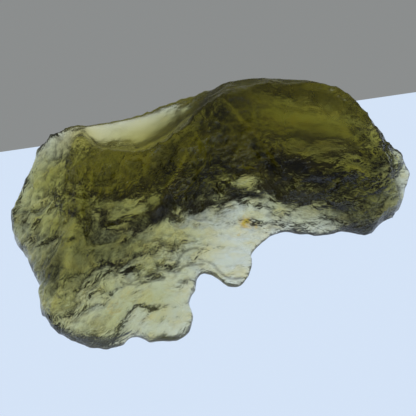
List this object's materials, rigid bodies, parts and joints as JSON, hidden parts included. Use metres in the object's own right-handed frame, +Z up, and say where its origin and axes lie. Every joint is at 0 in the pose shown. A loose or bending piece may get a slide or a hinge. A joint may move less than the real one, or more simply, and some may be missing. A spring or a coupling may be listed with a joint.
{
  "type": "moldavite",
  "caption": "Shard of olive-green natural glass with smooth scooped hollows, a sharp crest and a pitted skin, thinning to a see-through skirt; it lies on flats worn into its underside.",
  "frame": {"origin": "on the plane that the stone lies on, under the middle of its outline's box", "axes": "+X along the stone to its right tip in the picture, +Y to its tall back, +Z up from the flats that it lies on"},
  "size_m": [0.037, 0.0272, 0.01],
  "materials": {
    "moldavite_glass": "glossy"
  },
  "bodies": {
    "root": {"moldavite": "moldavite_glass"}
  },
  "joints": []
}
